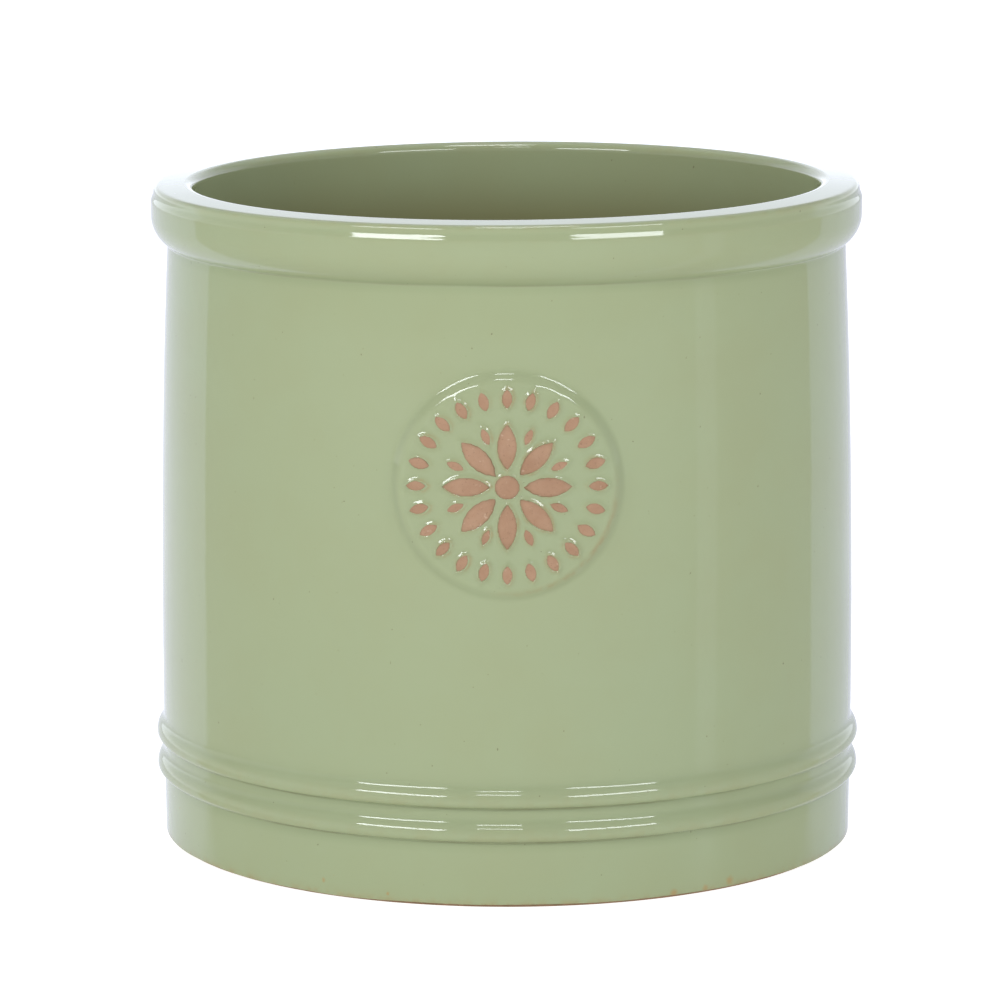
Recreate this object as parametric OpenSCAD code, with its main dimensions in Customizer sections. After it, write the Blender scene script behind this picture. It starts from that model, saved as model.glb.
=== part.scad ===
// Glazed earthenware brush holder pot: a straight-sided pot with a thick rolled
// rim, two beads above the foot and an applied round seal on the front.
// Millimetres, +Z up. The origin is on the table, under the centre of the pot,
// and the seal faces -Y.
//
// The outside and inside surfaces are written once, as outlines of the finished
// glazed pot. Each outline function takes a depth: depth 0 is the glazed surface
// and depth glaze_t is the clay surface under it, so coats and clay always meet.

/* [Overall size] */
// Diameter across the rim, over the glaze
rim_d = 180; // [140:1:240]
// Height, over the glaze
pot_h = 168; // [135:1:240]

/* [Body] */
// How far the wall's widest line lies inside the rim, over the glaze
belly_inset = 1.6; // [1:0.1:2.5]
// How far the wall draws in from there up to the collar
neck_inset = 2.4; // [1:0.1:3]
// Height of the wall's widest line above the table
belly_z = 45; // [35:1:70]
// Width of the rim, from the outside to the well that the brushes stand in
rim_w = 10.8; // [9:0.1:14]
// Thickness of the clay floor
floor_t = 9.5; // [5:0.5:16]
// Depth that the floor slab is let into the wall
floor_rebate = 3; // [1:0.5:5]
// Radius of the smoothed coil in the corner of the floor, over the glaze
floor_fillet_r = 6; // [3:0.5:12]

/* [Foot] */
// Height of the foot ring under the floor
foot_h = 3; // [2:0.5:6]
// Width of the foot ring
foot_w = 12; // [8:0.5:20]
// Rounding of the foot ring's edges
foot_edge_r = 0.8; // [0.5:0.1:1]

/* [Rim collar] */
// Height of the collar
collar_h = 15.5; // [12:0.5:24]
// Radius of the curve under the collar
collar_under_r = 8.5; // [5:0.5:10]
// Depth below the top at which the collar starts to lean in
bevel_drop = 4.1; // [4:0.1:6]
// Height of the lower leaning band
low_band_h = 1.5; // [1:0.1:2]
// Lean of the lower band, in degrees from upright
low_band_lean = 22; // [10:1:30]
// Lean of the upper band, in degrees from upright
top_band_lean = 5; // [2:1:20]
// Rounding of the collar's outer top edge
collar_top_r = 1.2; // [1:0.1:2.6]
// Slope of the rim's top, falling outwards from the mouth, in degrees
rim_slope = 3.5; // [1:0.5:8]
// Rounding of the mouth
mouth_r = 2.3; // [1.5:0.1:3]
// Thickness of the wall's tongue that goes up inside the collar
tongue_t = 3.4; // [2:0.1:4]
// Height of that tongue above the collar's seat
tongue_h = 6.5; // [4:0.5:8]

/* [Beads] */
// Height of the lower bead's widest line above the table
bead_z = 17.9; // [13:0.1:40]
// Distance from the lower bead up to the upper bead
bead_pitch = 8.4; // [7.5:0.1:16]
// How far each bead stands out from the wall
bead_proud = 1.75; // [1:0.05:2.5]
// Radius of the rounded shoulder above each bead's widest line
bead_shoulder_r = 4; // [3:0.1:5]
// Radius of the hollow where that shoulder runs into the wall
bead_hollow_r = 3.3; // [2:0.1:4]
// Radius of the tight lower edge of each bead
bead_nose_r = 1.35; // [0.8:0.05:1.5]
// Depth of the groove that each bead's coil is pressed into
bead_groove = 0.8; // [0.5:0.1:1.5]

/* [Seal] */
// Distance from the top of the rim down to the seal's centre
seal_drop = 64; // [48:1:66]
// Diameter of the clay seal. The sprigs on it grow and shrink with it
seal_d = 53; // [44:0.5:60]
// How far the seal stands out from the wall
seal_proud = 1; // [0.6:0.1:2]
// Depth that the seal is let into the wall
seal_bed = 0.8; // [0.5:0.1:1.5]
// How far the sprigs stand out from the seal, through the glaze
sprig_proud = 0.7; // [0.6:0.05:1.2]
// Number of sprigs in the border
border_count = 24; // [16:1:28]
// Length of a border sprig
border_l = 5; // [3:0.1:6]
// Width of a border sprig
border_w = 2.7; // [1.5:0.1:3]
// Clay left between the border sprigs and the edge of the seal
border_margin = 2.6; // [1.5:0.1:4]
// Number of petals in the rosette
petal_count = 8; // [6:1:10]
// Clear ring between the border and the rosette
rosette_gap = 3.4; // [2:0.1:5]
// Width of a petal
petal_w = 4.8; // [3:0.1:5]
// Length of a sepal, between two petals
sepal_l = 4.6; // [3:0.1:6]
// Width of a sepal
sepal_w = 2.1; // [1.5:0.1:3]
// Diameter of the boss in the middle of the rosette
boss_d = 6; // [4:0.1:7]
// Gap between the boss and the petals
boss_gap = 0.9; // [0.5:0.1:2]

/* [Glaze] */
// Thickness of the glaze
glaze_t = 0.5; // [0.3:0.05:0.8]
// Height above the table where the outside glaze stops, so the foot stays bare
glaze_line_z = 1.1; // [1.1:0.1:3]

/* [Hidden] */
$fn = 96;

arc_steps = 6;          // straight steps that stand for each rounded stretch
wall_step = 8;          // longest straight step along the wall
reach = 2 * rim_d;      // longer than any cut through the pot needs to be

rim_r = rim_d / 2;
belly_r = rim_r - belly_inset;
well_r = rim_r - rim_w;
clay_well_r = well_r + glaze_t;
slab_r = clay_well_r + floor_rebate;
slab_top_z = foot_h + floor_t;
floor_z = slab_top_z + glaze_t;
fillet_c = [well_r - floor_fillet_r, floor_z + floor_fillet_r];
// The wall bends at the foot ring's top and at the glaze line, whichever is higher
wall_start_z = max(foot_h, glaze_line_z);
foot_side_z = min(foot_h, glaze_line_z);
seal_r = seal_d / 2;
seal_z = pot_h - seal_drop;
upper_bead_z = bead_z + bead_pitch;

// The bead's shoulder and hollow meet where both slope alike, and the hollow
// then ends upright on the wall.
bead_turn = acos(1 - bead_proud / (bead_shoulder_r + bead_hollow_r));
bead_top_dz = (bead_shoulder_r + bead_hollow_r) * sin(bead_turn);

// The wall's long curve draws in by neck_inset at the collar, and the collar's
// underside starts from its glazed surface there.
neck_z = pot_h - collar_h;
wall_curve_r = pow(neck_z - belly_z, 2) / (2 * neck_inset);
under_c_r = rim_r - collar_under_r;
under_turn = acos((wall_r(neck_z) - under_c_r) / collar_under_r);
under_c = [under_c_r, neck_z + collar_under_r * sin(under_turn)];

// The collar's top leans in along two bands, and the upper one runs into the
// rounded top edge.
band_foot = [rim_r, pot_h - bevel_drop];
band_mid = band_foot + low_band_h * [-tan(low_band_lean), 1];

// The rim's sloping top is one straight line that touches the rounding of the mouth
// and the rounded top edge. The edge's centre lies where both the upper band and
// that line touch its rounding.
mouth_c_r = well_r + mouth_r;
mouth_c_z = pot_h - mouth_r;
edge_reach = band_mid[0] + band_mid[1] * tan(top_band_lean)
    - collar_top_r / cos(top_band_lean);
edge_height = mouth_c_z + (mouth_r - collar_top_r) / cos(rim_slope);
top_c_z = (edge_height - (edge_reach - mouth_c_r) * tan(rim_slope))
    / (1 - tan(top_band_lean) * tan(rim_slope));
top_c = [edge_reach - top_c_z * tan(top_band_lean), top_c_z];
mouth_c = [mouth_c_r, mouth_c_z];

// The clay collar sits on the clay wall where its underside meets the wall.
seat_turn = seat_angle(glaze_t);
seat_z = under_c[1] - (collar_under_r - glaze_t) * sin(seat_turn);
tongue_r = clay_well_r + tongue_t;
tongue_top_z = seat_z + tongue_h;

// The sprigs' places, and the petals' length, on a seal of the drawn size. A seal
// of another size has the same drawing, made larger or smaller.
drawn_seal_d = 53;
drawn_scale = seal_d / drawn_seal_d;
border_c_r = drawn_seal_d / 2 - border_margin - border_l / 2;
rosette_r = border_c_r - border_l / 2 - rosette_gap;
petal_foot_r = boss_d / 2 + boss_gap;
petal_l = rosette_r - petal_foot_r;
petal_c_r = petal_foot_r + petal_l / 2;
sepal_c_r = rosette_r - sepal_l / 2;

clay_colour = "#c4987a";
glaze_colour = "#a8b18c";

// ---- outlines, as points [radius, height] ----

// Glazed radius of the wall at a height
function wall_r(z) = belly_r - pow(z - belly_z, 2) / (2 * wall_curve_r);

// Points along an arc about c, from angle a0 to a1
function arc(c, r, a0, a1) =
    [for (i = [0:arc_steps]) let (a = a0 + (a1 - a0) * i / arc_steps)
        c + r * [cos(a), sin(a)]];

// Points along the wall between two heights, without its two ends
function wall_run(z0, z1, depth) =
    let (n = max(2, ceil((z1 - z0) / wall_step)))
    [for (i = [1:n - 1]) let (z = z0 + (z1 - z0) * i / n) [wall_r(z) - depth, z]];

// The wall from the higher of the foot's top and the glaze line up to the lower bead
function lower_wall(depth) =
    concat([[wall_r(wall_start_z) - depth, wall_start_z]],
           wall_run(wall_start_z, bead_foot(bead_z, depth)[1], depth));

function reversed(points) = [for (i = [len(points) - 1:-1:0]) points[i]];

// A corner between two faces that lean in by a0 and a1 degrees, at a depth
function mitre(corner, a0, a1, depth) =
    let (a = (a0 + a1) / 2)
    corner - depth / cos((a1 - a0) / 2) * [cos(a), sin(a)];

// Angle round the underside's arc at which it meets the wall, at a depth
function seat_angle(depth) =
    acos((wall_r(neck_z) - depth - under_c[0]) / (collar_under_r - depth));

// Lowest and highest point of a bead on the wall
function bead_foot(z, depth) = [wall_r(z) - depth, z - bead_nose_r + depth];
function bead_head(z, depth) = [wall_r(z) - depth, z + bead_top_dz];

// A bead's own outline, from its foot to its head
function bead(z, depth) =
    let (r = wall_r(z) + bead_proud,
         nose_c = [r - bead_nose_r, z],
         shoulder_c = [r - bead_shoulder_r, z],
         hollow_c = [wall_r(z) + bead_hollow_r, z + bead_top_dz])
    concat(
        [bead_foot(z, depth)],
        arc(nose_c, bead_nose_r - depth, -90, 0),
        [for (i = [1:arc_steps]) let (a = bead_turn * i / arc_steps)
            shoulder_c + (bead_shoulder_r - depth) * [cos(a), sin(a)]],
        [for (i = [1:arc_steps]) let (a = 180 + bead_turn * (1 - i / arc_steps))
            hollow_c + (bead_hollow_r + depth) * [cos(a), sin(a)]]);

// The wall from the upper bead to the collar, with both its ends
function upper_wall(depth) =
    let (head = bead_head(upper_bead_z, depth))
    concat([head], wall_run(head[1], neck_z, depth), [[wall_r(neck_z) - depth, neck_z]]);

// The rounding of the mouth, from the rim's sloping top into the well
function mouth(depth) = arc(mouth_c, mouth_r - depth, 90 - rim_slope, 180);

// The collar, from its seat on the wall over to the start of the mouth
function collar(depth) =
    concat(
        arc(under_c, collar_under_r - depth, -seat_angle(depth), 0),
        [mitre(band_foot, 0, low_band_lean, depth),
         mitre(band_mid, low_band_lean, top_band_lean, depth)],
        arc(top_c, collar_top_r - depth, top_band_lean, 90 - rim_slope),
        [mouth(depth)[0]]);

// The whole outside, from the glaze line to the start of the mouth
function outside(depth) =
    concat(
        glaze_line_z < foot_h ? [[wall_r(glaze_line_z) - depth, glaze_line_z]] : [],
        lower_wall(depth),
        bead(bead_z, depth),
        wall_run(bead_head(bead_z, depth)[1], bead_foot(upper_bead_z, depth)[1], depth),
        bead(upper_bead_z, depth),
        wall_run(bead_head(upper_bead_z, depth)[1], neck_z, depth),
        collar(depth));

// The whole inside, from the start of the mouth down to the middle of the floor
function inside(depth) =
    concat(
        mouth(depth),
        arc(fillet_c, floor_fillet_r + depth, 0, -90),
        [[0, floor_z - depth]]);

// The groove for a bead, from its foot to its head
function groove(z) =
    let (foot = bead_foot(z, glaze_t), head = bead_head(z, glaze_t), r = foot[0] - bead_groove)
    [foot, [r, foot[1]], [r, head[1]], head];

// ---- shapes that several pieces share ----

module revolve(points) {
    rotate_extrude() polygon(points);
}

// A layer that follows the upper wall between two depths under the glazed surface
module wall_layer(deep, shallow) {
    revolve(concat(upper_wall(shallow), reversed(upper_wall(deep))));
}

// A 2D shape on the seal's face, cut right through the front of the pot
module through_front() {
    translate([0, 0, seal_z]) rotate([90, 0, 0]) linear_extrude(height = reach) children();
}

// A pointed oval with its long axis upright
module pointed_oval(l, w) {
    r = (l * l + w * w) / (4 * w);
    intersection() {
        translate([r - w / 2, 0]) circle(r = r);
        translate([w / 2 - r, 0]) circle(r = r);
    }
}

// Pointed ovals that all point at the seal's centre, evenly round a circle
module oval_ring(count, circle_r, l, w, turn) {
    for (i = [0:count - 1])
        rotate(turn + 360 * i / count) translate([0, circle_r]) pointed_oval(l, w);
}

// Sprigs sit on the clay seal and come up through the glaze
module sprigs() {
    intersection() {
        wall_layer(glaze_t - seal_proud, glaze_t - seal_proud - sprig_proud);
        through_front() scale(drawn_scale) children();
    }
}

// ---- the pieces ----

module clay_wall() {
    color(clay_colour) difference() {
        revolve(concat(
            [[slab_r, foot_h]],
            foot_h < glaze_line_z ? [[wall_r(foot_h) - glaze_t, foot_h]] : [],
            lower_wall(glaze_t),
            groove(bead_z),
            wall_run(bead_head(bead_z, glaze_t)[1], bead_foot(upper_bead_z, glaze_t)[1], glaze_t),
            groove(upper_bead_z),
            wall_run(bead_head(upper_bead_z, glaze_t)[1], neck_z, glaze_t),
            [[wall_r(neck_z) - glaze_t, seat_z], [tongue_r, seat_z], [tongue_r, tongue_top_z],
             [clay_well_r, tongue_top_z], [clay_well_r, slab_top_z], [slab_r, slab_top_z]]));
        seal_disc();
    }
}

module floor_slab() {
    color(clay_colour) translate([0, 0, foot_h]) cylinder(r = slab_r, h = floor_t);
}

module floor_coil() {
    color(clay_colour) revolve(concat(
        arc(fillet_c, floor_fillet_r + glaze_t, 0, -90),
        [[clay_well_r, slab_top_z]]));
}

module foot_ring() {
    top_r = wall_r(foot_h) - glaze_t;
    side_r = wall_r(foot_side_z) - glaze_t;
    inner_r = top_r - foot_w;
    color(clay_colour) revolve(concat(
        [[top_r, foot_h], [inner_r, foot_h]],
        arc([inner_r + foot_edge_r, foot_edge_r], foot_edge_r, 180, 270),
        arc([side_r - foot_edge_r, foot_edge_r], foot_edge_r, 270, 360),
        foot_side_z < foot_h ? [[side_r, foot_side_z]] : []));
}

module rim_collar() {
    color(clay_colour) revolve(concat(
        collar(glaze_t),
        mouth(glaze_t),
        [[clay_well_r, tongue_top_z], [tongue_r, tongue_top_z], [tongue_r, seat_z]]));
}

module bead_coil(z) {
    ring = groove(z);
    color(clay_colour) revolve(concat(bead(z, glaze_t), [ring[2], ring[1]]));
}

module lower_bead() {
    bead_coil(bead_z);
}

module upper_bead() {
    bead_coil(upper_bead_z);
}

module seal_disc() {
    color(clay_colour) intersection() {
        wall_layer(glaze_t + seal_bed, glaze_t - seal_proud);
        through_front() circle(r = seal_r);
    }
}

module border_sprigs() {
    color(clay_colour) sprigs() oval_ring(border_count, border_c_r, border_l, border_w, 0);
}

module petal_sprigs() {
    color(clay_colour) sprigs() oval_ring(petal_count, petal_c_r, petal_l, petal_w, 0);
}

module sepal_sprigs() {
    color(clay_colour) sprigs()
        oval_ring(petal_count, sepal_c_r, sepal_l, sepal_w, 180 / petal_count);
}

module boss_sprig() {
    color(clay_colour) sprigs() circle(d = boss_d);
}

module outer_glaze() {
    color(glaze_colour) difference() {
        union() {
            revolve(concat(outside(0), reversed(outside(glaze_t))));
            intersection() {
                wall_layer(glaze_t, -seal_proud);
                through_front() circle(r = seal_r + glaze_t);
            }
        }
        seal_disc();
        border_sprigs();
        petal_sprigs();
        sepal_sprigs();
        boss_sprig();
    }
}

module inner_glaze() {
    color(glaze_colour) revolve(concat(inside(0), reversed(inside(glaze_t))));
}

clay_wall();
floor_slab();
floor_coil();
foot_ring();
rim_collar();
lower_bead();
upper_bead();
seal_disc();
border_sprigs();
petal_sprigs();
sepal_sprigs();
boss_sprig();
outer_glaze();
inner_glaze();
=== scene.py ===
# %% [markdown]
# # A glazed brush holder pot
#
# This lesson dresses a pot that already exists as a plain solid model, with every piece of clay
# and glaze in its place. Its sizes are kept, give or take the millimetre or less that hand work
# and melting glaze add. The work is the surface: the thick glossy glaze, the bare clay of the
# seal and the foot, and the light that shows them.

# %% Load the frame
import math

import bmesh
import bpy
import numpy as np
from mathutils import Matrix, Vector


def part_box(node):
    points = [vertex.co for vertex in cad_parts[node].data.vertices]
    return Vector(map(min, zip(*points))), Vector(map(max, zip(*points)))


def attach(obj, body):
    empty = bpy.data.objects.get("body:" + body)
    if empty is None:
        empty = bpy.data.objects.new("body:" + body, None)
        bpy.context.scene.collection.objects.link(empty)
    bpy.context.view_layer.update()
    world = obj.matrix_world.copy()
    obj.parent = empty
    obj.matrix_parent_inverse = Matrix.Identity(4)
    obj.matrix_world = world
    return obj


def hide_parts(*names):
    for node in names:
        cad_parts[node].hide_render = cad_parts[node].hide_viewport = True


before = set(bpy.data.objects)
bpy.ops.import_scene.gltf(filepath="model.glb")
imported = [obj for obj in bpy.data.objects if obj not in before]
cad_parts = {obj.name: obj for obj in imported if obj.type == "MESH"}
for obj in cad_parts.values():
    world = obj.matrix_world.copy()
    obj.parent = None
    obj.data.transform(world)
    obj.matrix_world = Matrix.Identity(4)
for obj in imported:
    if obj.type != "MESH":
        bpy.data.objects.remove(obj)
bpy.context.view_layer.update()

# %% [markdown]
# The sizes come from the frame wherever a node gives them, and the rest are the potter's own
# numbers: how round a bead is, how the rim is bevelled. They are kept in metres, and `MM` makes
# them easy to read. Anything further out than `outer_side_r` is on the outside of the wall.

# %% Sizes of the pot
MM = 0.001
glaze_low, glaze_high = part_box("outer_glaze")
seal_low, seal_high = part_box("seal_disc")
slab_low, slab_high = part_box("floor_slab")
tongue_top_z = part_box("clay_wall")[1].z
seat_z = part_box("rim_collar")[0].z
beads = [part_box(name) for name in ("lower_bead", "upper_bead")]

pot_h = glaze_high.z
glaze_t = 0.5 * MM
glaze_line_z = glaze_low.z
foot_h = slab_low.z
floor_z = slab_high.z + glaze_t
belly_r, belly_z = 88.4 * MM, 45 * MM
neck_z, neck_inset = pot_h - 15.5 * MM, 2.4 * MM
well_r = 79.2 * MM
outer_side_r = well_r + 5 * MM
print("height", round(pot_h / MM, 1), "well floor at", round(floor_z / MM, 2), "mm")


def wall_r(z):
    """Glazed radius of the plain wall at a height: a long, slight curve."""
    return belly_r - neck_inset * ((z - belly_z) / (neck_z - belly_z)) ** 2


# %% [markdown]
# The outside of a thrown pot is one line turned round an axis. A maker would draw it with a
# template; here it is a list of points along straight stretches and arcs. The glaze rounds every
# crease when it melts, so the line is smoothed a little after it is drawn. That is better than a
# bevel, because glaze pools in hollows and thins on edges, which a bevel doesn't do.

# %% Points along the outline
def arc(centre, radius, start, end):
    """Points along an arc, by angle in degrees, close enough to be smooth when turned."""
    count = max(3, int(abs(math.radians(end - start)) * radius / (0.08 * MM)))
    a = np.radians(np.linspace(start, end, count))
    return np.stack([centre[0] + radius * np.cos(a), centre[1] + radius * np.sin(a)], 1)


def wall(z0, z1):
    """Points up the plain wall between two heights."""
    z = np.linspace(z0, z1, max(2, int((z1 - z0) / (0.5 * MM))))
    return np.stack([wall_r(z), z], 1)


print("glazed radius at the foot", round(wall_r(glaze_line_z) / MM, 1),
      "and at the neck", round(wall_r(neck_z) / MM, 1), "mm")

# %% [markdown]
# Each bead was a thin coil of clay, pressed on and turned with a shaped rib. Below it has a tight
# nose over a crease, and above it a round shoulder that runs through a hollow into the wall.

# %% One bead
bead_proud, shoulder_r, hollow_r, nose_r = 1.75 * MM, 4 * MM, 3.3 * MM, 1.35 * MM
bead_turn = math.degrees(math.acos(1 - bead_proud / (shoulder_r + hollow_r)))
bead_rise = (shoulder_r + hollow_r) * math.sin(math.radians(bead_turn))
bead_z = [high.z - bead_rise for _, high in beads]


def bead(z):
    """One bead from its crease up, where `z` is the height of its widest line."""
    r = wall_r(z) + bead_proud
    return np.concatenate([
        arc((r - nose_r, z), nose_r, -88, 0),
        arc((r - shoulder_r, z), shoulder_r, 0, bead_turn),
        arc((wall_r(z) + hollow_r, z + bead_rise), hollow_r, 180 + bead_turn, 180)])


print("beads at", [round(z / MM, 1) for z in bead_z], "mm")

# %% [markdown]
# The rim was turned with a bevelled rib. From the neck it curls out, stands upright, leans in on
# a short band, goes almost upright again to a crisp edge, and then a nearly flat top rises gently
# to the rounded mouth. The short leaning band catches the lamps and the flat top catches the
# white room behind, so they are drawn as bands and not as one round edge.

# %% The rim's own outline
rim_r = 90.1 * MM
under_r = 8.5 * MM
under_x = rim_r - under_r
under_turn = math.degrees(math.acos((wall_r(neck_z) - under_x) / under_r))
under_z = neck_z + under_r * math.sin(math.radians(under_turn))
low_lean, top_lean, rim_slope = (math.radians(v) for v in (22, 5, 3.5))
edge_r, mouth_r = 1.2 * MM, 2.3 * MM
band_drop, band_h = 4.1 * MM, 1.5 * MM
band_foot = (rim_r, pot_h - band_drop)
band_mid = (rim_r - band_h * math.tan(low_lean), band_foot[1] + band_h)
mouth_x, mouth_z = well_r + mouth_r, pot_h - mouth_r
reach = band_mid[0] + band_mid[1] * math.tan(top_lean) - edge_r / math.cos(top_lean)
edge_z = mouth_z + (mouth_r - edge_r) / math.cos(rim_slope)
edge_z -= (reach - mouth_x) * math.tan(rim_slope)
edge_z /= 1 - math.tan(top_lean) * math.tan(rim_slope)
edge_x = reach - edge_z * math.tan(top_lean)
meet = (mouth_x + mouth_r * math.sin(rim_slope), mouth_z + mouth_r * math.cos(rim_slope))
print("the rim's top edge is", round((pot_h - edge_z - edge_r) / MM, 2), "mm below the mouth")

# %% [markdown]
# Now the line is put together from the glaze line above the foot, up the outside, over the mouth,
# down the well and in along its floor. The wall's stretches stop a little short of each bead. The
# straight joins across those gaps become the soft creases that glaze leaves beside a bead.

# %% The whole outline
fillet_r = 6 * MM
crease_gap = 1.5 * MM
hollow_gap = 0.3 * MM
outline = np.concatenate([
    wall(glaze_line_z, bead_z[0] - crease_gap), bead(bead_z[0]),
    wall(bead_z[0] + bead_rise + hollow_gap, bead_z[1] - crease_gap), bead(bead_z[1]),
    wall(bead_z[1] + bead_rise + hollow_gap, neck_z),
    arc((under_x, under_z), under_r, -under_turn, 0),
    np.array([band_foot, band_mid]),
    arc((edge_x, edge_z), edge_r, math.degrees(top_lean), 90 - math.degrees(rim_slope)),
    arc((mouth_x, mouth_z), mouth_r, 90 - math.degrees(rim_slope), 180),
    arc((well_r - fillet_r, floor_z + fillet_r), fillet_r, 0, -90),
    np.array([(0, floor_z)])])
print("outline drawn with", len(outline), "points")

# %% [markdown]
# Next the line is walked at an even pace, so that the smoothing acts the same everywhere. The
# clay's own outline is then the same line moved in by the thickness of the glaze, so that glaze
# and clay fit each other however the corners have melted.

# %% Even pace, melted corners, and the clay under the glaze
def even(points, pace):
    """The same line with points a fixed distance apart, and how far along each one is."""
    steps = np.hypot(*np.diff(points, axis=0).T)
    points = points[np.concatenate([[True], steps > 1e-9])]
    walked = np.concatenate([[0], np.cumsum(np.hypot(*np.diff(points, axis=0).T))])
    at = np.linspace(0, walked[-1], int(walked[-1] / pace) + 1)
    return np.stack([np.interp(at, walked, points[:, i]) for i in (0, 1)], 1), at


def melted(points, pace, softness):
    """The line with its corners rounded as melted glaze rounds them. Its ends stay put."""
    reach = int(4 * softness / pace)
    weight = np.exp(-0.5 * (np.arange(-reach, reach + 1) * pace / softness) ** 2)
    weight /= weight.sum()
    out = points.copy()
    for i in (0, 1):
        first, last = points[0, i], points[-1, i]
        padded = np.concatenate([2 * first - points[reach:0:-1, i], points[:, i],
                                 2 * last - points[-2:-reach - 2:-1, i]])
        out[:, i] = np.convolve(padded, weight, "valid")
    return out


pace, melt = 0.05 * MM, 0.28 * MM
line, walked = even(outline, pace)
line = melted(line, pace, melt)
along = np.gradient(line, axis=0)
along /= np.hypot(*along.T)[:, None]
clay_line = line + glaze_t * np.stack([-along[:, 1], along[:, 0]], 1)
mouth_at = int(np.argmin(np.hypot(line[:, 0] - meet[0], line[:, 1] - meet[1])))
print("line is", round(walked[-1] * 1000, 1), "mm long; the coats meet at point", mouth_at)

# %% [markdown]
# A turned surface is a grid: rows along the line, columns round the axis. Even rows would waste
# points on the plain wall and starve the beads, so the rows crowd where the line bends and over
# the seal, and the columns crowd over the seal too.

# %% A way to crowd points
seal_z = (seal_low.z + seal_high.z) / 2
seal_r = (seal_high.z - seal_low.z) / 2 + 0.4 * MM
seal_reach = seal_r + 2.5 * MM
fine = 0.28 * MM


def crowded(at, spacing):
    """Indices into `at`, spaced as `spacing` asks at each place."""
    count = np.concatenate([[0], np.cumsum(np.diff(at) / spacing[:-1])])
    want = np.linspace(0, count[-1], int(count[-1]) + 1)
    return np.unique(np.round(np.interp(want, count, np.arange(len(at)))).astype(int))


print("points crowd within", round(seal_reach / MM, 1), "mm of the seal's middle")

# %% Rows and columns that crowd where they are needed
direction = np.unwrap(np.arctan2(along[:, 1], along[:, 0]))
bend = np.gradient(direction, walked)
steady_bend = np.convolve(np.abs(bend), np.ones(21) / 21, "same")
row_gap = np.clip(math.radians(4.5) / np.maximum(steady_bend, 1e-6), 0.16 * MM, 2.4 * MM)
over_seal = (np.abs(line[:, 1] - seal_z) < seal_reach) & (line[:, 0] > outer_side_r)
row_gap[over_seal] = fine
row_gap[walked < 1.5 * MM] = 0.2 * MM
outside_rows = crowded(walked[:mouth_at + 1], row_gap[:mouth_at + 1])
inside_rows = mouth_at + crowded(walked[mouth_at:], row_gap[mouth_at:])

turn = np.linspace(-math.pi, math.pi, 20001)
at_seal = np.abs(turn) < seal_reach / wall_r(seal_z)
column_gap = np.where(at_seal, fine / belly_r, math.radians(1.15))
columns = turn[crowded(turn, column_gap)][:-1]
print("outside grid:", len(outside_rows), "rows by", len(columns), "columns")
print("inside grid:", len(inside_rows), "rows by", len(columns), "columns")

# %% [markdown]
# No hand-finished pot is perfectly round. A few slow waves round the pot and up its height make
# the reflections wander as they do on the real thing. The waves are each a tenth of a millimetre
# or less. Higher up the pot also leans and its rim dips and tilts, by up to a millimetre in all.
# Clay and glaze share every wave, so everything still meets. A displacement modifier could do
# this too, but it would move each piece by its own surface, and the pieces would part.

# %% Slow waves in the clay
dice = np.random.default_rng(7)
waves = []
# Each wave: its crests round the pot, its crests up the height, and its size in millimetres.
for rounds, rises, size in [(2, 0.4, 0.10), (3, 0.9, 0.07), (5, 1.6, 0.035), (8, 2.7, 0.016),
                            (13, 5.5, 0.008), (1, 9.0, 0.010), (2, 14.0, 0.006)]:
    waves.append((rounds, rises * 2 * math.pi / pot_h, size * MM, *dice.uniform(0, 6.28, 2)))
rim_low, rim_front, rim_side = -0.30 * MM, -0.35 * MM, 0.55 * MM
lean = 0.3 * MM


print("leans", lean / MM, "mm; the rim tilts by", rim_front / MM, "and", rim_side / MM, "mm")


def wander(angle, z):
    """How far the surface stands in or out of true."""
    out = 0
    for rounds, rises, size, a, b in waves:
        out = out + size * np.sin(rounds * angle + a) * np.cos(rises * z + b)
    return out


def place(angle, radius, z, proud=0.0):
    """A point of the pot. Angle 0 is the front, on -Y, and +X is at a quarter turn."""
    high = np.clip(z / pot_h, 0, 1)
    out_from_axis = np.clip(radius / well_r, 0, 1)
    r = radius + proud + wander(angle, z) * out_from_axis
    tilt = rim_low + rim_front * np.cos(angle) + rim_side * np.sin(angle)
    lift = tilt * high ** 6 * out_from_axis
    return np.stack([r * np.sin(angle) - lean * high, -r * np.cos(angle), z + lift], -1)


# %% [markdown]
# The seal is a soft-edged disc with a border of small leaf sprigs and an eight-petalled rosette.
# Each sprig is a pointed oval: the overlap of two circles. That gives a simple distance to the
# oval's edge, for the glaze that climbs it. A sprig is kept as its group, its turn in degrees,
# its middle's distance from the seal's middle, its length and its width.

# %% The shape of a sprig
def oval(along, across, length, width):
    """Distance outside (+) or inside (-) a pointed oval, `along` its long axis."""
    big = (length ** 2 + width ** 2) / (4 * width)
    shift = big - width / 2
    side = np.hypot(along, np.abs(across) + shift) - big
    tip = np.hypot(np.abs(along) - length / 2, across)
    return np.where((side > 0) & (np.abs(along) > length / 2), tip, side)


def sprig_axes(x, z, tilt, out):
    """Seal coordinates turned into a sprig's own: along its length, and across it."""
    a = math.radians(tilt)
    return x * math.sin(a) + z * math.cos(a) - out, x * math.cos(a) - z * math.sin(a)


# %% Where every sprig lies
boss_r = 3 * MM
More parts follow.
